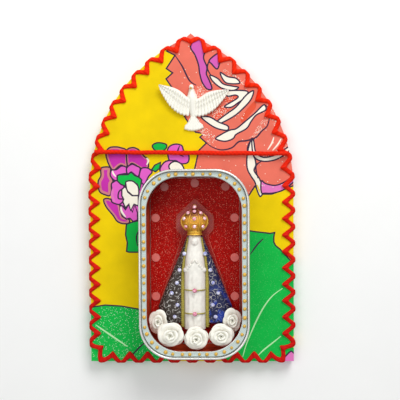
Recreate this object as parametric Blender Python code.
"""Tin chapel shrine: a cloth-covered board in the shape of a pointed arch, with a pressed food tin fixed on
its face as a niche for a crowned, robed figure among paper roses, and a white dove above.

Metres, +Z up, X to the viewer's right, the face towards -Y. The origin is the middle of the board's back,
which lies flat on the wall. Heights in this file are measured up from the board's bottom edge, and rises
from the tin's foot.
"""

import math

import bmesh
import bpy
from mathutils import Matrix, Vector

# Fits
SEAT_GAP = 0.0003  # between a piece and what carries it

# Board: a rectangle under a pointed arch whose sides are two arcs centred on the spring line
BOARD_WIDTH = 0.1158
BOARD_HEIGHT = 0.1858
BOARD_THICKNESS = 0.0060
SPRING_HEIGHT = 0.0985  # where the straight sides end
ARCH_STEPS = 14

# Keyhole slot routed in the back, to hang on a screw head
KEYHOLE_HEIGHT = 0.1440  # middle of the round entry
KEYHOLE_HEAD_RADIUS = 0.0046
KEYHOLE_NECK_RADIUS = 0.0023
KEYHOLE_TRAVEL = 0.0080
KEYHOLE_DEPTH = 0.0045
KEYHOLE_LIP = 0.0018  # wood left in front of the screw head

# Printed cloth over the face and edges
CLOTH_THICKNESS = 0.0005

# Zigzag braid round the edge, and the straight cord across
BRAID_PITCH = 0.0095
BRAID_SWING = 0.00205  # from the middle line to a peak
BRAID_STRAND = 0.0037  # across one strand, square to the edge
BRAID_THICKNESS = 0.0010
BRAID_INSET = 0.00345  # middle line in from the cloth's edge
BRAID_CORNER = 0.0045
BRAID_BITE = 0.86  # 0 makes round waves and 1 straight-sided ones
BRAID_STEPS = 8  # points in one wave
CORD_ABOVE_TIN = 0.0091
CORD_DIAMETER = 0.0025
CORD_STEPS = 8  # points in each climb over the braid

# Tin: a drawn can and the seamed rim that its lid left behind
TIN_WIDTH = 0.0605
TIN_HEIGHT = 0.1040
TIN_DEPTH = 0.0240
TIN_CORNER = 0.0190
TIN_OFFSET = 0.0020  # right of the board's middle
TIN_FOOT = 0.0057  # bottom of the rim above the board's bottom edge
TIN_SHEET = 0.00035
TIN_DRAFT = 0.0019  # how far each wall leans in from rim to base
TIN_BASE_RADIUS = 0.0012
TIN_STEP_INSET = 0.0090  # base panel's step, in from the rim
TIN_STEP_RISE = 0.0006
SEAM_WIDTH = 0.0013
SEAM_HEIGHT = 0.0030
LEDGE_DROP = 0.0022  # seam's top down to the ledge
LEDGE_WIDTH = 0.0028
FLANGE_WIDTH = 0.0012
CORNER_STEPS = 7

# Ribbon on the ledge, with gold beads
RIBBON_THICKNESS = 0.0004
RIBBON_MARGIN = 0.0003  # ledge left bare at each side
BEAD_COUNT = 54
BEAD_RADIUS = 0.0009
BEAD_SINK = 0.0002  # bead's middle below the ribbon's face

# Lining of the tin
LINING_THICKNESS = 0.0006
WALL_LINING_THICKNESS = 0.0004
WALL_LINING_CLEAR = 0.0003  # bare wall left above the base's bend
SEQUIN_RADIUS = 0.0024
SEQUIN_THICKNESS = 0.0002
SEQUIN_EDGE = 0.0005  # sequin's edge to the lining's edge
SEQUIN_ROWS = (0.305, 0.518, 0.736)  # heights of the pairs at the sides, as shares of the tin's
SEQUIN_TOP_STEP = 0.0051  # the two sequins beside the topmost one, in from those at the sides
SEQUIN_TOP_DROP = 0.0020

# Clear plate behind the figure
PLATE_THICKNESS = 0.0020
PLATE_MARGIN = 0.0030
PLATE_FOOT_RISE = 0.0165
PLATE_CORNER = 0.0012

# Mantle: a cape that widens from neck to hem
MANTLE_NECK_DROP = 0.0007  # below the veil's top
MANTLE_NECK_HALF = 0.0044
MANTLE_HEM_HEIGHT_RISE = 0.0263
MANTLE_HEM_RATIO = 0.347  # half its widest, as a share of the tin's width
MANTLE_FOOT_RISE = 0.0165
MANTLE_FOOT_RATIO = 0.837  # of the hem's width
MANTLE_THICKNESS = 0.0034
MANTLE_CHAMFER = 0.0012

# Robe: white body in front of the mantle, with the head above
ROBE_FOOT_RISE = 0.0145
ROBE_HALF = 0.0054
ROBE_DEPTH = 0.0046
SHOULDER_HEIGHT_RISE = 0.0578
SHOULDER_HALF = 0.0046
VEIL_HALF = 0.0036
VEIL_DEPTH = 0.0030
HEAD_ABOVE_SHOULDER = 0.0055
VEIL_ABOVE_HEAD = 0.0037  # veil's top above the head's middle
HEAD_HALF_WIDTH = 0.0024
HEAD_HALF_HEIGHT = 0.0031
HEAD_FORWARD = 0.0019
HANDS_HEIGHT_RISE = 0.0499
HANDS_LENGTH = 0.0070
HANDS_GIRTH = 0.0014
HANDS_LEAN = math.radians(43)
ROBE_ARC = 10  # steps round the front of a section

# Gold trim on the figure
EDGING_DIAMETER = 0.0018
EDGING_STEPS = 8
BAND_DIAMETER = 0.0007
BAND_RISES = (0.0235, 0.0366)
BAND_REACH = math.radians(68)  # each side of straight ahead
BAND_STEPS = 8

# Crown
CROWN_HALF = 0.0078
CROWN_DEPTH_RATIO = 0.62  # of its width
CROWN_COLLAR_HALF = 0.0043
CROWN_COLLAR_HEIGHT = 0.0026
CROWN_BULB_HEIGHT = 0.0123
CROWN_RIBS = 8
CROWN_RIB_RATIO = 0.07  # share of the radius
CROWN_STEPS = 32
ORB_RADIUS = 0.0013
ORB_SINK = 0.0005

# Cut stones: the radius of each kind
STONE_SIDES = 8
STONE_RISE_RATIO = 0.7  # of the radius
MANTLE_STONE_RADIUS = 0.0012
DRESS_STONE_RADIUS = 0.0013
CROWN_STONE_RADIUS = 0.0011
EDGING_STONE_SHARE = 0.81  # height of the topmost stone on an edging, from the mantle's foot to its neck
# (share of the way from the robe to the mantle's edge, share of the way up from foot to neck) on one side
MANTLE_STONES = (
    (0.00, 0.62), (0.30, 0.475), (0.66, 0.36), (0.10, 0.225), (0.26, 0.09),
)
# (angle round the crown from straight ahead in degrees, share of the bulb's height)
CROWN_STONES = (
    (-41, 0.20), (0, 0.20), (41, 0.20), (-48, 0.54), (0, 0.54), (48, 0.54), (-42, 0.78), (42, 0.78),
    (0, 0.85),
)

# Paper roses: (right of the tin's middle, height above its foot, radius of the head) as shares of half the
# tin's width, and how far the head stands out
ROSE_HEADS = {
    "rose_outer_left": (-0.684, 0.679, 0.178, 0.0072),
    "rose_inner_left": (-0.450, 0.476, 0.228, 0.0142),
    "rose_middle": (0.033, 0.377, 0.212, 0.0142),
    "rose_inner_right": (0.493, 0.433, 0.212, 0.0142),
    "rose_outer_right": (0.691, 0.698, 0.168, 0.0072),
}
ROSE_HEAD_DEPTH = 0.0062
ROSE_STALK_RADIUS = 0.0013
ROSE_TURNS = 2.5  # turns of the petal spiral from heart to rim
ROSE_LOBES = 5
ROSE_RIDGE = 0.0007
ROSE_RINGS = 9
ROSE_SECTORS = 25

# Dove, wings spread, seen from its breast
DOVE_ABOVE_CORD = 0.0122  # tail's end from the cord's middle
DOVE_OFFSET = 0.0008  # right of the board's middle
DOVE_LEAN = math.radians(3.6)  # body, head to the left
WING_TILT = math.radians(-3.3)  # wings, left tip up
DOVE_BODY_HALF = 0.0031
DOVE_BODY_LENGTH = 0.0150
DOVE_BODY_DEPTH = 0.0052
DOVE_HEAD_RADIUS = 0.0023
DOVE_HEAD_RISE = 0.0085  # above the middle of the breast
DOVE_BEAK_LENGTH = 0.0016
WING_SPAN = 0.0199  # tip from the middle line
WING_TIP_RISE = 0.0094
WING_SHOULDER = 0.0022  # root's width each side of the middle line
WING_SHOULDER_RISE = 0.0030
WING_FOOT_DROP = 0.0080
WING_BOW = 0.0024  # leading edge's bulge
WING_ELBOW = (0.0125, -0.0065)  # what the trailing edge bends towards
WING_THICKNESS = 0.0017
WING_FEATHERS = 7
FEATHER_DEPTH = 0.0009
TAIL_HALF = 0.0057
TAIL_DROP = 0.0163  # tail's end below the middle of the breast
TAIL_NECK_DROP = 0.0092
TAIL_NECK_HALF = 0.0015
TAIL_FEATHERS = 5

# Where the layers lie, from the wall at 0 towards the viewer at -Y
BOARD_FACE = -BOARD_THICKNESS
CLOTH_FACE = BOARD_FACE - SEAT_GAP - CLOTH_THICKNESS
CLOTH_REACH = SEAT_GAP + CLOTH_THICKNESS  # cloth's outer edge beyond the board's
TIN_BACK = CLOTH_FACE - SEAT_GAP
TIN_FRONT = TIN_BACK - TIN_DEPTH
SEAM_BACK = TIN_FRONT + SEAM_HEIGHT
LEDGE_FACE = TIN_FRONT + LEDGE_DROP
LEDGE_BACK = LEDGE_FACE + TIN_SHEET
FLANGE_FACE = SEAM_BACK + SEAT_GAP
PANEL_FACE = TIN_BACK - TIN_STEP_RISE - TIN_SHEET
LINING_BACK = PANEL_FACE - SEAT_GAP
LINING_FACE = LINING_BACK - LINING_THICKNESS
SEQUIN_BACK = LINING_FACE - SEAT_GAP
PLATE_BACK = SEQUIN_BACK - SEQUIN_THICKNESS - SEAT_GAP  # the plate laps over the lower sequins
PLATE_FACE = PLATE_BACK - PLATE_THICKNESS
MANTLE_BACK = PLATE_FACE - SEAT_GAP
MANTLE_FACE = MANTLE_BACK - MANTLE_THICKNESS
ROBE_BACK = MANTLE_FACE - SEAT_GAP
TIN_MIDDLE_HEIGHT = TIN_FOOT + TIN_HEIGHT / 2
CORD_HEIGHT = TIN_FOOT + TIN_HEIGHT + CORD_ABOVE_TIN
DOVE_HEIGHT = CORD_HEIGHT + DOVE_ABOVE_CORD + TAIL_DROP  # middle of the breast
WALL_INSET = SEAM_WIDTH + SEAT_GAP  # can's wall at the flange, in from the rim's outline
BASE_INSET = WALL_INSET + TIN_DRAFT
LINING_INSET = BASE_INSET + TIN_SHEET + WALL_LINING_THICKNESS + 2 * SEAT_GAP

# Heights of the figure above the board's bottom edge: from the tin's foot, or from the shoulders up
PLATE_FOOT = TIN_FOOT + PLATE_FOOT_RISE
MANTLE_HEM_HEIGHT = TIN_FOOT + MANTLE_HEM_HEIGHT_RISE
MANTLE_FOOT = TIN_FOOT + MANTLE_FOOT_RISE
ROBE_FOOT = TIN_FOOT + ROBE_FOOT_RISE
SHOULDER_HEIGHT = TIN_FOOT + SHOULDER_HEIGHT_RISE
HEAD_HEIGHT = SHOULDER_HEIGHT + HEAD_ABOVE_SHOULDER
VEIL_TOP = HEAD_HEIGHT + VEIL_ABOVE_HEAD
MANTLE_NECK_HEIGHT = VEIL_TOP - MANTLE_NECK_DROP
HANDS_HEIGHT = TIN_FOOT + HANDS_HEIGHT_RISE
BAND_HEIGHTS = tuple(TIN_FOOT + rise for rise in BAND_RISES)
EDGING_TOP = (SHOULDER_HEIGHT + 2 * HEAD_HEIGHT) / 3
MANTLE_HEM_HALF = TIN_WIDTH * MANTLE_HEM_RATIO
MANTLE_FOOT_HALF = MANTLE_HEM_HALF * MANTLE_FOOT_RATIO


def clear_scene():
    """Remove whatever the file holds."""
    for old in list(bpy.data.objects):
        bpy.data.objects.remove(old)


def material(name, colour, roughness, metallic=0.0, alpha=1.0):
    """A Principled material in one colour."""
    made = bpy.data.materials.new(name)
    made.use_nodes = True
    shader = made.node_tree.nodes["Principled BSDF"]
    shader.inputs["Base Color"].default_value = (*colour, 1.0)
    shader.inputs["Roughness"].default_value = roughness
    shader.inputs["Metallic"].default_value = metallic
    shader.inputs["Alpha"].default_value = alpha
    return made


def finish(name, mesh_or_curve, finish_material, sharp_angle=math.radians(40)):
    """An object for a finished mesh or curve, under the shrine's empty."""
    piece = bpy.data.objects.new(name, mesh_or_curve)
    bpy.context.scene.collection.objects.link(piece)
    mesh_or_curve.materials.append(finish_material)
    if piece.type == "MESH":
        mesh_or_curve.shade_smooth()
        mesh_or_curve.set_sharp_from_angle(angle=sharp_angle)
    piece.parent = SHRINE
    return piece


def helper(piece):
    """Mark an object as a cutter or a joined-in shape that isn't a piece itself."""
    piece.hide_render = True
    piece.display_type = "WIRE"
    return piece


def combine(piece, other, operation):
    """Cut another object from this one, or join it in."""
    modifier = piece.modifiers.new(operation.lower(), "BOOLEAN")
    modifier.operation = operation
    modifier.object = helper(other)


def mesh_of(bm, name):
    """A bmesh made a mesh, with its faces pointing out."""
    bmesh.ops.recalc_face_normals(bm, faces=bm.faces)
    if bm.calc_volume(signed=True) < 0:
        bmesh.ops.reverse_faces(bm, faces=bm.faces)
    mesh = bpy.data.meshes.new(name)
    bm.to_mesh(mesh)
    bm.free()
    return mesh


def lofted(name, loops, capped=True):
    """A solid through a row of loops with equal counts: capped at its ends, or closed round on itself."""
    bm = bmesh.new()
    made = [[bm.verts.new(p) for p in points] for points in loops]
    pairs = list(zip(made, made[1:]))
    if not capped:
        pairs.append((made[-1], made[0]))
    for first, second in pairs:
        for i in range(len(first)):
            bm.faces.new((first[i - 1], first[i], second[i], second[i - 1]))
    if capped:
        bm.faces.new(made[0])
        bm.faces.new(made[-1])
    return mesh_of(bm, name)


def at_depth(outline, depth):
    """An outline of (x, z) pairs as points at one depth."""
    return [Vector((x, depth, z)) for x, z in outline]


def prism(name, outline, back, face):
    """A flat solid between two depths."""
    return lofted(name, [at_depth(outline, back), at_depth(outline, face)])


def ellipsoid(name, middle, half_sizes, rings=8, sectors=14, lean=0.0):
    """A closed ellipsoid, turned about Y by lean."""
    bm = bmesh.new()
    place = (
        Matrix.Translation(middle)
        @ Matrix.Rotation(lean, 4, "Y")
        @ Matrix.Diagonal((*half_sizes, 1.0))
    )
    bmesh.ops.create_uvsphere(bm, u_segments=sectors, v_segments=rings, radius=1.0, matrix=place)
    return mesh_of(bm, name)


def tube(name, points, diameter, tube_material, resolution=1):
    """A round cord through the points."""
    curve = bpy.data.curves.new(name, "CURVE")
    curve.dimensions = "3D"
    curve.bevel_depth = diameter / 2
    curve.bevel_resolution = resolution
    curve.use_fill_caps = True
    spline = curve.splines.new("POLY")
    spline.points.add(len(points) - 1)
    for target, point in zip(spline.points, points):
        target.co = (*point, 1.0)
    return finish(name, curve, tube_material)


def arc(middle, radius, start, end, steps):
    """Points on an arc in the XZ plane, both ends included."""
    x, z = middle
    turns = [start + (end - start) * i / steps for i in range(steps + 1)]
    return [(x + radius * math.cos(t), z + radius * math.sin(t)) for t in turns]


def arch_outline(reach):
    """The board's outline grown by reach, from the bottom left corner, counter-clockwise."""
    half = BOARD_WIDTH / 2
    rise = BOARD_HEIGHT - SPRING_HEIGHT
    radius = (rise**2 + half**2) / BOARD_WIDTH
    shift = radius - half
    apex_turn = math.acos(shift / (radius + reach))
    right = arc((-shift, SPRING_HEIGHT), radius + reach, 0.0, apex_turn, ARCH_STEPS)
    left = [(-x, z) for x, z in reversed(right[:-1])]
    return [(-half - reach, -reach), (half + reach, -reach), *right, *left]


def tin_outline(inset):
    """The tin's rounded rectangle drawn in by inset, counter-clockwise from the lower right corner."""
    half_width = TIN_WIDTH / 2 - inset
    half_height = TIN_HEIGHT / 2 - inset
    radius = TIN_CORNER - inset
    corners = ((1, -1, -90), (1, 1, 0), (-1, 1, 90), (-1, -1, 180))
    points = []
    for side_x, side_z, start in corners:
        middle = (
            TIN_OFFSET + side_x * (half_width - radius),
            TIN_MIDDLE_HEIGHT + side_z * (half_height - radius),
        )
        start = math.radians(start)
        points += arc(middle, radius, start, start + math.pi / 2, CORNER_STEPS)
    return points


def tin_loop(inset, depth):
    """The tin's outline, drawn in, at one depth."""
    return at_depth(tin_outline(inset), depth)


def build_board(wood):
    """The board, with a keyhole slot in its back."""
    board = finish("back_board", prism("back_board", arch_outline(0.0), 0.0, BOARD_FACE), wood)
    past = KEYHOLE_DEPTH  # cutters stand this far out of the back
    seat = KEYHOLE_HEIGHT + KEYHOLE_TRAVEL
    entry = arc((0.0, KEYHOLE_HEIGHT), KEYHOLE_HEAD_RADIUS, 0.0, math.tau, 24)[:-1]
    cutters = {"keyhole_entry": prism("keyhole_entry", entry, past, -KEYHOLE_DEPTH)}
    slots = (
        ("keyhole_neck", KEYHOLE_NECK_RADIUS, past),
        ("keyhole_head", KEYHOLE_HEAD_RADIUS, -KEYHOLE_LIP),
    )
    for name, radius, back in slots:
        outline = arc((0.0, seat), radius, 0.0, math.pi, 12) + arc(
            (0.0, KEYHOLE_HEIGHT), radius, math.pi, math.tau, 12
        )
        cutters[name] = prism(name, outline, back, -KEYHOLE_DEPTH)
    for name, mesh in cutters.items():
        combine(board, finish(name, mesh, wood), "DIFFERENCE")


def build_cloth(cotton):
    """The printed cloth: a shallow tray over the board's face and edges, cut flush with its back."""
    outer = prism("printed_cloth", arch_outline(CLOTH_REACH), 0.0, CLOTH_FACE)
    cloth = finish("printed_cloth", outer, cotton)
    past = BOARD_THICKNESS
    hollow = prism("cloth_hollow", arch_outline(SEAT_GAP), past, BOARD_FACE - SEAT_GAP)
    combine(cloth, finish("cloth_hollow", hollow, cotton), "DIFFERENCE")


def braid_route():
    """The braid's middle line, with rounded bottom corners, from the bottom's middle and back to it."""
    reach = CLOTH_REACH - BRAID_INSET
    corners = [Vector((x, 0.0, z)) for x, z in arch_outline(reach)]
    half, low = BOARD_WIDTH / 2 + reach, -reach
    turn = BRAID_CORNER
    lower_right = arc((half - turn, low + turn), turn, -math.pi / 2, 0.0, CORNER_STEPS)
    side = lower_right + [(p.x, p.z) for p in corners[2 : 2 + ARCH_STEPS]]
    apex = corners[2 + ARCH_STEPS]
    points = [(0.0, low), *side, (apex.x, apex.z)]
    points += [(-x, z) for x, z in reversed(side)] + [(0.0, low)]
    return [Vector((x, 0.0, z)) for x, z in points]


def along(points, distance):
    """The place at a distance along a polyline, and the direction there."""
    for a, b in zip(points, points[1:]):
        step = (b - a).length
        if distance <= step:
            return a.lerp(b, distance / step), (b - a).normalized()
        distance -= step
    return points[-1].copy(), (points[-1] - points[-2]).normalized()


def build_braid(braid_red):
    """The zigzag braid, one length whose ends meet below the tin."""
    route = braid_route()
    length = sum((b - a).length for a, b in zip(route, route[1:])) - SEAT_GAP
    waves = 2 * round(length / BRAID_PITCH / 2)  # even, so that a peak lies at the arch's point
    count = waves * BRAID_STEPS
    back = CLOTH_FACE - SEAT_GAP
    look = BRAID_PITCH / BRAID_STEPS  # directions are averaged over this much, so corners turn smoothly
    loops = []
    for i in range(count + 1):
        distance = length * i / count
        place, _ = along(route, distance)
        before, _ = along(route, max(0.0, distance - look))
        after, _ = along(route, min(length, distance + look))
        direction = (after - before).normalized()
        inward = Vector((-direction.z, 0.0, direction.x))
        wave = math.asin(BRAID_BITE * math.cos(math.tau * i / BRAID_STEPS)) / math.asin(BRAID_BITE)
        swing = -BRAID_SWING * wave
        edges = [place + inward * (swing + side * BRAID_STRAND / 2) for side in (-1, 1)]
        loops.append(
            [
                edges[0] + Vector((0.0, back, 0.0)),
                edges[1] + Vector((0.0, back, 0.0)),
                edges[1] + Vector((0.0, back - BRAID_THICKNESS, 0.0)),
                edges[0] + Vector((0.0, back - BRAID_THICKNESS, 0.0)),
            ]
        )
    finish("zigzag_braid", lofted("zigzag_braid", loops), braid_red, math.radians(60))


def build_cord(cord_red):
    """The straight cord across the board, which climbs over the braid at each side."""
    on_cloth = CLOTH_FACE - SEAT_GAP - CORD_DIAMETER / 2
    over_braid = on_cloth - BRAID_THICKNESS - SEAT_GAP
    half = max(x for x, z in arch_outline(CLOTH_REACH) if z >= CORD_HEIGHT)
    inner = half - BRAID_INSET - BRAID_SWING - BRAID_STRAND
    climb = BRAID_SWING + BRAID_STRAND
    right = [(half - SEAT_GAP, over_braid)]
    for i in range(CORD_STEPS + 1):
        share = i / CORD_STEPS
        smooth = share * share * (3 - 2 * share)
        right.append((inner - climb * share, over_braid + (on_cloth - over_braid) * smooth))
    side = [Vector((x, y, CORD_HEIGHT)) for x, y in right]
    points = side + [Vector((-p.x, p.y, p.z)) for p in reversed(side)]
    tube("waist_cord", points, CORD_DIAMETER, cord_red, resolution=2)


def base_bend(sheet_side):
    """The rounded foot of the can's wall as (inset, depth), on its outer or inner face."""
    radius = TIN_BASE_RADIUS - sheet_side
    middle = (BASE_INSET + TIN_BASE_RADIUS, TIN_BACK - TIN_BASE_RADIUS)
    turns = [math.pi / 2 * i / 4 for i in range(5)]
    return [(middle[0] - radius * math.cos(t), middle[1] + radius * math.sin(t)) for t in turns]


def build_tin(tinplate):
    """The drawn can, with its flange, and the seamed rim in front of it."""
    flange_outer = WALL_INSET - FLANGE_WIDTH
    outside = [(flange_outer, FLANGE_FACE), (flange_outer, FLANGE_FACE + TIN_SHEET)]
    outside += [(WALL_INSET, FLANGE_FACE + TIN_SHEET), *base_bend(0.0)]
    outside += [(TIN_STEP_INSET, TIN_BACK), (TIN_STEP_INSET + TIN_STEP_RISE, TIN_BACK - TIN_STEP_RISE)]
    inside = [(inset + TIN_SHEET / 2, depth - TIN_SHEET) for inset, depth in outside[-2:]]
    inside = list(reversed(inside)) + list(reversed(base_bend(TIN_SHEET)))
    inside += [(WALL_INSET + TIN_SHEET, FLANGE_FACE)]
    profile = list(reversed(outside)) + list(reversed(inside))
    finish("can_body", lofted("can_body", [tin_loop(*p) for p in profile]), tinplate)

    opening = SEAM_WIDTH + LEDGE_WIDTH
    rim = [
        (0.0, SEAM_BACK), (0.0, TIN_FRONT + SEAM_WIDTH / 3), (SEAM_WIDTH / 3, TIN_FRONT),
        (SEAM_WIDTH * 2 / 3, TIN_FRONT), (SEAM_WIDTH, TIN_FRONT + SEAM_WIDTH / 3),
        (SEAM_WIDTH, LEDGE_FACE), (opening, LEDGE_FACE), (opening, LEDGE_BACK),
        (SEAM_WIDTH, LEDGE_BACK), (SEAM_WIDTH, SEAM_BACK),
    ]
    finish("seamed_rim", lofted("seamed_rim", [tin_loop(*p) for p in rim], capped=False), tinplate)


def spaced_on_outline(inset, count):
    """Even places along the tin's outline, drawn in."""
    outline = tin_outline(inset)
    points = [Vector((x, 0.0, z)) for x, z in outline + outline[:1]]
    length = sum((b - a).length for a, b in zip(points, points[1:]))
    return [along(points, length * (i + 0.5) / count)[0] for i in range(count)]


def build_ribbon(ribbon_blue):
    """The ribbon on the rim's ledge, with its row of beads."""
    back = LEDGE_FACE - SEAT_GAP
    face = back - RIBBON_THICKNESS
    outer = SEAM_WIDTH + SEAT_GAP
    inner = SEAM_WIDTH + LEDGE_WIDTH - RIBBON_MARGIN
    loops = [tin_loop(*p) for p in ((outer, back), (outer, face), (inner, face), (inner, back))]
    ribbon = finish("beaded_ribbon", lofted("beaded_ribbon", loops, capped=False), ribbon_blue)
    bm = bmesh.new()
    for place in spaced_on_outline((outer + inner) / 2, BEAD_COUNT):
        place.y = face + BEAD_SINK
        bmesh.ops.create_icosphere(
            bm, subdivisions=1, radius=BEAD_RADIUS, matrix=Matrix.Translation(place)
        )
    for vertex in bm.verts:
        vertex.co.y = min(vertex.co.y, face + RIBBON_THICKNESS / 2)
    beads = finish("ribbon_beads", mesh_of(bm, "ribbon_beads"), ribbon_blue)
    combine(ribbon, beads, "UNION")


def build_lining(wall_red, glitter_red, pale_red):
    """Red ribbon round the tin's wall, a glitter sheet on its base, and the pale sequins on that."""
    front = LEDGE_BACK + SEAT_GAP
    wall_height = TIN_BACK - TIN_BASE_RADIUS - FLANGE_FACE - TIN_SHEET
    back = TIN_BACK - TIN_BASE_RADIUS - WALL_LINING_CLEAR
    lean = TIN_DRAFT * (back - front) / wall_height
    top = WALL_INSET + TIN_SHEET + SEAT_GAP
    foot = top + lean
    thick = WALL_LINING_THICKNESS
    profile = ((top, front), (foot, back), (foot + thick, back), (top + thick, front))
    loops = [tin_loop(*p) for p in profile]
    finish("wall_ribbon", lofted("wall_ribbon", loops, capped=False), wall_red)
    sheet = prism("glitter_lining", tin_outline(LINING_INSET), LINING_BACK, LINING_FACE)
    finish("glitter_lining", sheet, glitter_red)

    reach = LINING_INSET + SEQUIN_EDGE + SEQUIN_RADIUS
    side = TIN_WIDTH / 2 - reach
    top_height = TIN_MIDDLE_HEIGHT + TIN_HEIGHT / 2 - reach
    rows = [TIN_FOOT + TIN_HEIGHT * share for share in SEQUIN_ROWS]
    places = [(turn * side, height) for height in rows for turn in (-1, 1)]
    places += [(0.0, top_height)]
    places += [(turn * (side - SEQUIN_TOP_STEP), top_height - SEQUIN_TOP_DROP) for turn in (-1, 1)]
    for i, (x, height) in enumerate(places, 1):
        outline = arc((TIN_OFFSET + x, height), SEQUIN_RADIUS, 0.0, math.tau, 16)[:-1]
        name = f"sequin_{i}"
        finish(name, prism(name, outline, SEQUIN_BACK, SEQUIN_BACK - SEQUIN_THICKNESS), pale_red)


def mirrored(right_side):
    """An outline from its right half, listed top to bottom, on the tin's middle line."""
    left = [(-x, z) for x, z in reversed(right_side) if x > 0]
    return [(TIN_OFFSET + x, z) for x, z in list(right_side) + left]


def crown_base():
    """Height at which the crown sits on the veil."""
    return VEIL_TOP + SEAT_GAP


def build_plate(clear):
    """The clear plate that backs the figure, cut to its silhouette with a margin."""
    margin = PLATE_MARGIN
    crown_top = crown_base() + CROWN_COLLAR_HEIGHT + CROWN_BULB_HEIGHT
    right = [
        (0.0, crown_top + ORB_RADIUS * 2 + margin),
        (CROWN_HALF + margin, crown_top - CROWN_BULB_HEIGHT * 0.35),
        (CROWN_HALF + margin, crown_base() + CROWN_COLLAR_HEIGHT),
        (MANTLE_NECK_HALF + margin, MANTLE_NECK_HEIGHT),
        (MANTLE_HEM_HALF, MANTLE_HEM_HEIGHT),
        (MANTLE_FOOT_HALF, PLATE_FOOT),
    ]
    outline = mirrored(right)
    bm = bmesh.new()
    face = bm.faces.new([bm.verts.new(p) for p in at_depth(outline, PLATE_BACK)])
    extruded = bmesh.ops.extrude_face_region(bm, geom=[face])
    moved = [v for v in extruded["geom"] if isinstance(v, bmesh.types.BMVert)]
    bmesh.ops.translate(bm, verts=moved, vec=(0.0, -PLATE_THICKNESS, 0.0))
    uprights = [e for e in bm.edges if abs(e.verts[0].co.y - e.verts[1].co.y) > PLATE_THICKNESS / 2]
    bmesh.ops.bevel(
        bm, geom=uprights, offset=PLATE_CORNER, segments=3, profile=0.5, affect="EDGES", material=-1
    )
    finish("clear_plate", mesh_of(bm, "clear_plate"), clear)


def mantle_half(height):
    """The mantle's half width at a height between its neck and its hem."""
    share = (height - MANTLE_HEM_HEIGHT) / (MANTLE_NECK_HEIGHT - MANTLE_HEM_HEIGHT)
    return MANTLE_HEM_HALF + (MANTLE_NECK_HALF - MANTLE_HEM_HALF) * max(0.0, share)


def build_mantle(mantle_blue):
    """The cape, with bevelled edges, and its flat face towards the viewer."""
    right = [
        (MANTLE_NECK_HALF, MANTLE_NECK_HEIGHT),
        (MANTLE_HEM_HALF, MANTLE_HEM_HEIGHT),
        (MANTLE_FOOT_HALF, MANTLE_FOOT),
    ]
    drawn_in = [
        (MANTLE_NECK_HALF - MANTLE_CHAMFER, MANTLE_NECK_HEIGHT),
        (MANTLE_HEM_HALF - MANTLE_CHAMFER * 1.6, MANTLE_HEM_HEIGHT + MANTLE_CHAMFER / 2),
        (MANTLE_FOOT_HALF - MANTLE_CHAMFER, MANTLE_FOOT),
    ]
    step = MANTLE_BACK - MANTLE_THICKNESS + MANTLE_CHAMFER
    loops = [
        at_depth(mirrored(right), MANTLE_BACK),
        at_depth(mirrored(right), step),
        at_depth(mirrored(drawn_in), MANTLE_FACE),
    ]
    finish("blue_mantle", lofted("blue_mantle", loops), mantle_blue)


def robe_size(height):
    """(half width, depth) of the robe at a height, from foot to veil."""
    stations = (
        (ROBE_FOOT, ROBE_HALF, ROBE_DEPTH),
        (ROBE_FOOT + 0.6 * (SHOULDER_HEIGHT - ROBE_FOOT), ROBE_HALF, ROBE_DEPTH),
        (SHOULDER_HEIGHT, SHOULDER_HALF, ROBE_DEPTH * 0.92),
        ((SHOULDER_HEIGHT + HEAD_HEIGHT) / 2, (SHOULDER_HALF + VEIL_HALF) / 2, VEIL_DEPTH * 1.1),
        (HEAD_HEIGHT, VEIL_HALF, VEIL_DEPTH),
        (VEIL_TOP, VEIL_HALF * 0.92, VEIL_DEPTH * 0.92),
    )
    for low, high in zip(stations, stations[1:]):
        if height <= high[0]:
            share = (height - low[0]) / (high[0] - low[0])
            return tuple(a + (b - a) * share for a, b in zip(low[1:], high[1:]))
    return stations[-1][1:]


def robe_section(height, grow=0.0, reach=math.pi / 2):
    """The front of the robe's section at a height, as an arc of points, left to right."""
    half, depth = robe_size(height)
    turns = [-reach + 2 * reach * i / ROBE_ARC for i in range(ROBE_ARC + 1)]
    return [
        Vector(
            (
                TIN_OFFSET + (half + grow) * math.sin(t),
                ROBE_BACK - (depth + grow) * math.cos(t),
                height,
            )
        )
        for t in turns
    ]


def build_robe(plaster):
    """The white body, its head and the folded hands, cast in one."""
    heights = [ROBE_FOOT + (SHOULDER_HEIGHT - ROBE_FOOT) * i / 5 for i in range(6)]
    heights += [(SHOULDER_HEIGHT + HEAD_HEIGHT) / 2, HEAD_HEIGHT, VEIL_TOP]
    robe = finish("white_robe", lofted("white_robe", [robe_section(h) for h in heights]), plaster)
    head_y = ROBE_BACK - VEIL_DEPTH + HEAD_HALF_WIDTH - HEAD_FORWARD
    head = ellipsoid(
        "head", (TIN_OFFSET, head_y, HEAD_HEIGHT), (HEAD_HALF_WIDTH, HEAD_HALF_WIDTH, HEAD_HALF_HEIGHT)
    )
    combine(robe, finish("head", head, plaster), "UNION")
    _, depth = robe_size(HANDS_HEIGHT)
    for side in (-1, 1):
        middle = (
            TIN_OFFSET + side * HANDS_LENGTH / 2 * math.sin(HANDS_LEAN),
            ROBE_BACK - depth * 0.94,
            HANDS_HEIGHT,
        )
        sizes = (HANDS_GIRTH, HANDS_GIRTH, HANDS_LENGTH / 2)
        name = f"sleeve_{'left' if side < 0 else 'right'}"
        sleeve = ellipsoid(name, middle, sizes, rings=6, sectors=10, lean=-side * HANDS_LEAN)
        combine(robe, finish(name, sleeve, plaster), "UNION")


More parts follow.
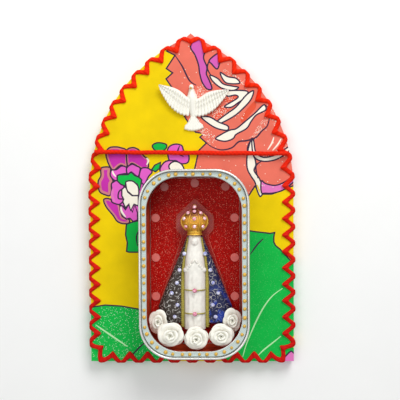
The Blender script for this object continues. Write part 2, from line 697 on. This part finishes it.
def build_gold_trim(gold):
    """Gold edging down both sides of the robe, and the two bands across it."""
    radius = EDGING_DIAMETER / 2
    low = MANTLE_FOOT + radius
    for side, word in ((-1, "left"), (1, "right")):
        points = []
        for i in range(EDGING_STEPS + 1):
            height = low + (EDGING_TOP - low) * i / EDGING_STEPS
            x = robe_size(height)[0] + SEAT_GAP + radius
            points.append((TIN_OFFSET + side * x, MANTLE_FACE - SEAT_GAP - radius, height))
        tube(f"gold_edging_{word}", points, EDGING_DIAMETER, gold)
    grow = SEAT_GAP + BAND_DIAMETER / 2
    for word, height in zip(("lower", "upper"), BAND_HEIGHTS):
        points = robe_section(height, grow, BAND_REACH)
        tube(f"gold_band_{word}", points, BAND_DIAMETER, gold)


def crown_radius(share):
    """The crown bulb's half width at a share of its height."""
    low = CROWN_COLLAR_HALF / CROWN_HALF
    swell = math.sin(math.pi * min(1.0, 0.16 + 0.84 * share)) ** 0.72
    return CROWN_HALF * max(swell, low * (1.0 - share))


def build_crown(gold):
    """The crown: a collar, a ribbed bulb and an orb."""
    base = crown_base()
    collar_top = base + CROWN_COLLAR_HEIGHT
    stations = [
        (base, CROWN_COLLAR_HALF, 0.0),
        (base + CROWN_COLLAR_HEIGHT * 0.25, CROWN_COLLAR_HALF * 1.12, 0.0),
        (base + CROWN_COLLAR_HEIGHT * 0.6, CROWN_COLLAR_HALF * 0.94, 0.0),
    ]
    shares = (0.0, 0.12, 0.26, 0.42, 0.58, 0.74, 0.88, 0.97)
    stations += [(collar_top + CROWN_BULB_HEIGHT * s, crown_radius(s), CROWN_RIB_RATIO) for s in shares]
    loops = []
    for height, radius, rib in stations:
        loop = []
        for i in range(CROWN_STEPS):
            turn = math.tau * i / CROWN_STEPS
            ribbed = radius * (1 - rib + rib * math.cos(CROWN_RIBS * turn))
            x, y = ribbed * math.sin(turn), -ribbed * math.cos(turn) * CROWN_DEPTH_RATIO
            loop.append(Vector((TIN_OFFSET + x, CROWN_MIDDLE + y, height)))
        loops.append(loop)
    crown = finish("crown", lofted("crown", loops), gold)
    orb_height = collar_top + CROWN_BULB_HEIGHT + ORB_RADIUS - ORB_SINK
    orb = ellipsoid("orb", (TIN_OFFSET, CROWN_MIDDLE, orb_height), (ORB_RADIUS,) * 3, rings=6, sectors=10)
    combine(crown, finish("orb", orb, gold), "UNION")


def stone_mesh(name, radius):
    """A cut stone with a flat back at its own origin, facing -Y."""
    rise = radius * STONE_RISE_RATIO
    rings = ((0.86, 0.0), (1.0, -rise * 0.3), (0.56, -rise))
    loops = []
    for share, depth in rings:
        outline = arc((0.0, 0.0), radius * share, 0.0, math.tau, STONE_SIDES)[:-1]
        loops.append(at_depth(outline, depth))
    return lofted(name, loops)


def place_stone(name, radius, seat, facing, stone_material):
    """A cut stone on a seat point, its back SEAT_GAP away along the facing direction."""
    stone = finish(name, stone_mesh(name, radius), stone_material, math.radians(10))
    facing = Vector(facing).normalized()
    stone.location = Vector(seat) + facing * SEAT_GAP
    stone.rotation_mode = "QUATERNION"
    stone.rotation_quaternion = facing.to_track_quat("-Y", "Z")


def build_stones(pale_blue, pink):
    """Pale stones on the mantle, pink ones on the bands and the crown."""
    for side, word in ((-1, "left"), (1, "right")):
        height = MANTLE_FOOT + (MANTLE_NECK_HEIGHT - MANTLE_FOOT) * EDGING_STONE_SHARE
        x = robe_size(height)[0] + SEAT_GAP + EDGING_DIAMETER / 2
        seat = (TIN_OFFSET + side * x, MANTLE_FACE - SEAT_GAP - EDGING_DIAMETER, height)
        place_stone(f"mantle_stone_{word}_1", MANTLE_STONE_RADIUS, seat, (0, -1, 0), pale_blue)
        for i, (share, rise) in enumerate(MANTLE_STONES, 2):
            height = MANTLE_FOOT + (MANTLE_NECK_HEIGHT - MANTLE_FOOT) * rise
            inner = robe_size(height)[0] + EDGING_DIAMETER + SEAT_GAP * 2 + MANTLE_STONE_RADIUS
            outer = mantle_half(height) - MANTLE_CHAMFER - MANTLE_STONE_RADIUS
            x = inner + max(0.0, outer - inner) * share
            seat = (TIN_OFFSET + side * x, MANTLE_FACE, height)
            place_stone(f"mantle_stone_{word}_{i}", MANTLE_STONE_RADIUS, seat, (0, -1, 0), pale_blue)
    for word, height in zip(("lower", "upper"), BAND_HEIGHTS):
        face = ROBE_BACK - robe_size(height)[1] - SEAT_GAP - BAND_DIAMETER
        seat = (TIN_OFFSET, face, height)
        place_stone(f"dress_stone_{word}", DRESS_STONE_RADIUS, seat, (0, -1, 0), pink)
    bulb_foot = crown_base() + CROWN_COLLAR_HEIGHT
    for i, (angle, share) in enumerate(CROWN_STONES, 1):
        turn = math.radians(angle)
        # the facets' middles lie inside the swept curve, so a stone stands off the full radius
        radius = crown_radius(share)
        x, y = radius * math.sin(turn), -radius * math.cos(turn) * CROWN_DEPTH_RATIO
        slope = (crown_radius(share - 0.05) - crown_radius(share + 0.05)) / (0.1 * CROWN_BULB_HEIGHT)
        facing = Vector((math.sin(turn) * CROWN_DEPTH_RATIO, -math.cos(turn), slope * CROWN_DEPTH_RATIO))
        seat = (TIN_OFFSET + x, CROWN_MIDDLE + y, bulb_foot + CROWN_BULB_HEIGHT * share)
        place_stone(f"crown_stone_{i}", CROWN_STONE_RADIUS, seat, facing, pink)
    top = bulb_foot + CROWN_BULB_HEIGHT + ORB_RADIUS - ORB_SINK
    seat = (TIN_OFFSET, CROWN_MIDDLE - ORB_RADIUS, top)
    place_stone("crown_stone_top", CROWN_STONE_RADIUS, seat, (0, -1, 0), pink)


def build_rose(name, paper):
    """A paper rose: a spiral head on a tapering stalk that is glued to the tin's back."""
    across, up, size, stand = ROSE_HEADS[name]
    x, radius = across * TIN_WIDTH / 2, size * TIN_WIDTH / 2
    height = TIN_FOOT + up * TIN_WIDTH / 2
    stalk_back = LINING_FACE - SEAT_GAP
    rim = stalk_back - stand
    middle = Vector((TIN_OFFSET + x, 0.0, height))
    sector = math.tau / ROSE_SECTORS
    loops = []

    def loop(share, depth, ridge):
        points = []
        for i in range(ROSE_SECTORS):
            turn = sector * i
            lobe = 1 - 0.09 * (1 - math.cos(ROSE_LOBES * turn)) / 2 * share
            wave = math.cos(math.tau * ROSE_TURNS * share - turn)
            reach = radius * share * lobe
            place = Vector((reach * math.cos(turn), depth + ridge * wave, reach * math.sin(turn)))
            points.append(middle + place)
        return points

    stalk = ROSE_STALK_RADIUS / radius
    loops.append(loop(stalk, stalk_back, 0.0))
    loops.append(loop(stalk, rim + ROSE_HEAD_DEPTH * 0.35, 0.0))
    loops.append(loop(0.78, rim + ROSE_HEAD_DEPTH * 0.05, 0.0))
    for i in range(ROSE_RINGS):
        share = 1.0 - 0.94 * i / (ROSE_RINGS - 1)
        dome = ROSE_HEAD_DEPTH * (1 - share**1.7)
        loops.append(loop(share, rim - ROSE_HEAD_DEPTH * 0.12 - dome, ROSE_RIDGE * min(1.0, share * 2)))
    finish(name, lofted(name, loops), paper)


def wing_edge():
    """The right wing as (x, z) about the breast: a bowed leading edge, then a feathered trailing edge."""
    tip = Vector((WING_SPAN, WING_TIP_RISE))
    root = Vector((WING_SHOULDER, WING_SHOULDER_RISE))
    foot = Vector((WING_SHOULDER, -WING_FOOT_DROP))
    square = Vector((-(tip - root).y, (tip - root).x)).normalized()
    points = []
    for i in range(7):
        t = i / 6
        points.append(root.lerp(tip, t) + square * WING_BOW * math.sin(math.pi * t) * (1 - 0.35 * t))
    elbow = Vector(WING_ELBOW)
    for i in range(WING_FEATHERS):
        for inner in (0.0, 0.55):
            t = (i + 0.15 + inner) / WING_FEATHERS
            edge = tip.lerp(elbow, t).lerp(elbow.lerp(foot, t), t)
            outward = Vector((0.6, -0.8))
            points.append(edge + outward * FEATHER_DEPTH * (1.0 if inner else 0.0))
    points.append(foot)
    return [(p.x, p.y) for p in points]


def tail_edge():
    """The right half of the fanned tail as (x, z) about the breast, neck to end."""
    points = [(TAIL_NECK_HALF, -TAIL_NECK_DROP)]
    for i in range(TAIL_FEATHERS):
        turn = 1 - i / TAIL_FEATHERS
        notch = FEATHER_DEPTH if i % 2 == 0 else 0.0
        points.append((TAIL_HALF * turn, -TAIL_DROP + turn**2 * TAIL_HALF * 0.35 + notch))
    return points + [(0.0, -TAIL_DROP)]


def build_dove(dove_white):
    """The dove, cast in one: breast, head, beak, wings and tail."""
    middle = Vector((DOVE_OFFSET, 0.0, DOVE_HEIGHT))
    place = Matrix.Translation(middle) @ Matrix.Rotation(-DOVE_LEAN, 4, "Y")
    back = CLOTH_FACE - SEAT_GAP
    body_length = DOVE_BODY_LENGTH / 2

    def set_in(mesh):
        mesh.transform(place)
        return mesh

    body = ellipsoid(
        "dove_body",
        (0.0, back - DOVE_BODY_DEPTH / 2, 0.0),
        (DOVE_BODY_HALF, DOVE_BODY_DEPTH / 2, body_length),
        rings=10,
        sectors=16,
    )
    dove = finish("dove", set_in(body), dove_white)
    head_y = back - DOVE_BODY_DEPTH * 0.55
    shapes = {
        "dove_head": ellipsoid(
            "dove_head",
            (0.0, head_y, DOVE_HEAD_RISE),
            (DOVE_HEAD_RADIUS * 0.8, DOVE_HEAD_RADIUS * 0.8, DOVE_HEAD_RADIUS),
            rings=8,
            sectors=12,
        ),
        "dove_beak": ellipsoid(
            "dove_beak",
            (0.0, head_y - DOVE_HEAD_RADIUS * 0.8, DOVE_HEAD_RISE - DOVE_HEAD_RADIUS * 0.3),
            (DOVE_BEAK_LENGTH * 0.35, DOVE_BEAK_LENGTH * 0.6, DOVE_BEAK_LENGTH * 0.55),
            rings=6,
            sectors=8,
        ),
    }
    # the wings turn the other way from the body, about the breast
    turn = Matrix.Rotation(WING_TILT - DOVE_LEAN, 2)
    wing, tail = wing_edge(), tail_edge()
    left_wing = [tuple(turn @ Vector((-x, z))) for x, z in reversed(wing)]
    right_wing = [tuple(turn @ Vector(p)) for p in wing]
    outline = right_wing + tail + [(-x, z) for x, z in reversed(tail[:-1])] + left_wing
    shapes["dove_feathers"] = prism("dove_feathers", outline, back, back - WING_THICKNESS)
    for name, mesh in shapes.items():
        combine(dove, finish(name, set_in(mesh), dove_white), "UNION")


clear_scene()
SHRINE = bpy.data.objects.new("shrine", None)
bpy.context.scene.collection.objects.link(SHRINE)
SHRINE.location.z = -BOARD_HEIGHT / 2
CROWN_MIDDLE = ROBE_BACK - VEIL_DEPTH * 0.4 - SEAT_GAP

WOOD = material("board_wood", (0.62, 0.48, 0.33), 0.75)
COTTON = material("printed_cotton", (0.87, 0.68, 0.02), 0.85)
BRAID_RED = material("braid_red", (0.80, 0.03, 0.01), 0.8)
TINPLATE = material("tinplate", (0.72, 0.74, 0.75), 0.3, metallic=1.0)
RIBBON_BLUE = material("ribbon_blue", (0.60, 0.74, 0.78), 0.5)
WALL_RED = material("wall_red", (0.30, 0.01, 0.01), 0.4)
GLITTER_RED = material("glitter_red", (0.50, 0.01, 0.01), 0.35)
PALE_RED = material("sequin_rose", (0.60, 0.14, 0.12), 0.3)
CLEAR = material("clear_acrylic", (0.80, 0.45, 0.42), 0.1, alpha=0.35)
MANTLE_BLUE = material("mantle_blue", (0.02, 0.03, 0.16), 0.45)
PLASTER = material("white_plaster", (0.86, 0.85, 0.82), 0.6)
GOLD = material("gold_paint", (0.72, 0.50, 0.08), 0.35, metallic=0.8)
PALE_BLUE = material("pale_crystal", (0.66, 0.74, 0.92), 0.08)
PINK = material("pink_crystal", (0.85, 0.35, 0.50), 0.08)
PAPER = material("rose_paper", (0.88, 0.87, 0.84), 0.8)
DOVE_WHITE = material("dove_white", (0.90, 0.89, 0.85), 0.45)

build_board(WOOD)
build_cloth(COTTON)
build_braid(BRAID_RED)
build_cord(BRAID_RED)
build_tin(TINPLATE)
build_ribbon(RIBBON_BLUE)
build_lining(WALL_RED, GLITTER_RED, PALE_RED)
build_plate(CLEAR)
build_mantle(MANTLE_BLUE)
build_robe(PLASTER)
build_gold_trim(GOLD)
build_crown(GOLD)
build_stones(PALE_BLUE, PINK)
for rose in ROSE_HEADS:
    build_rose(rose, PAPER)
build_dove(DOVE_WHITE)
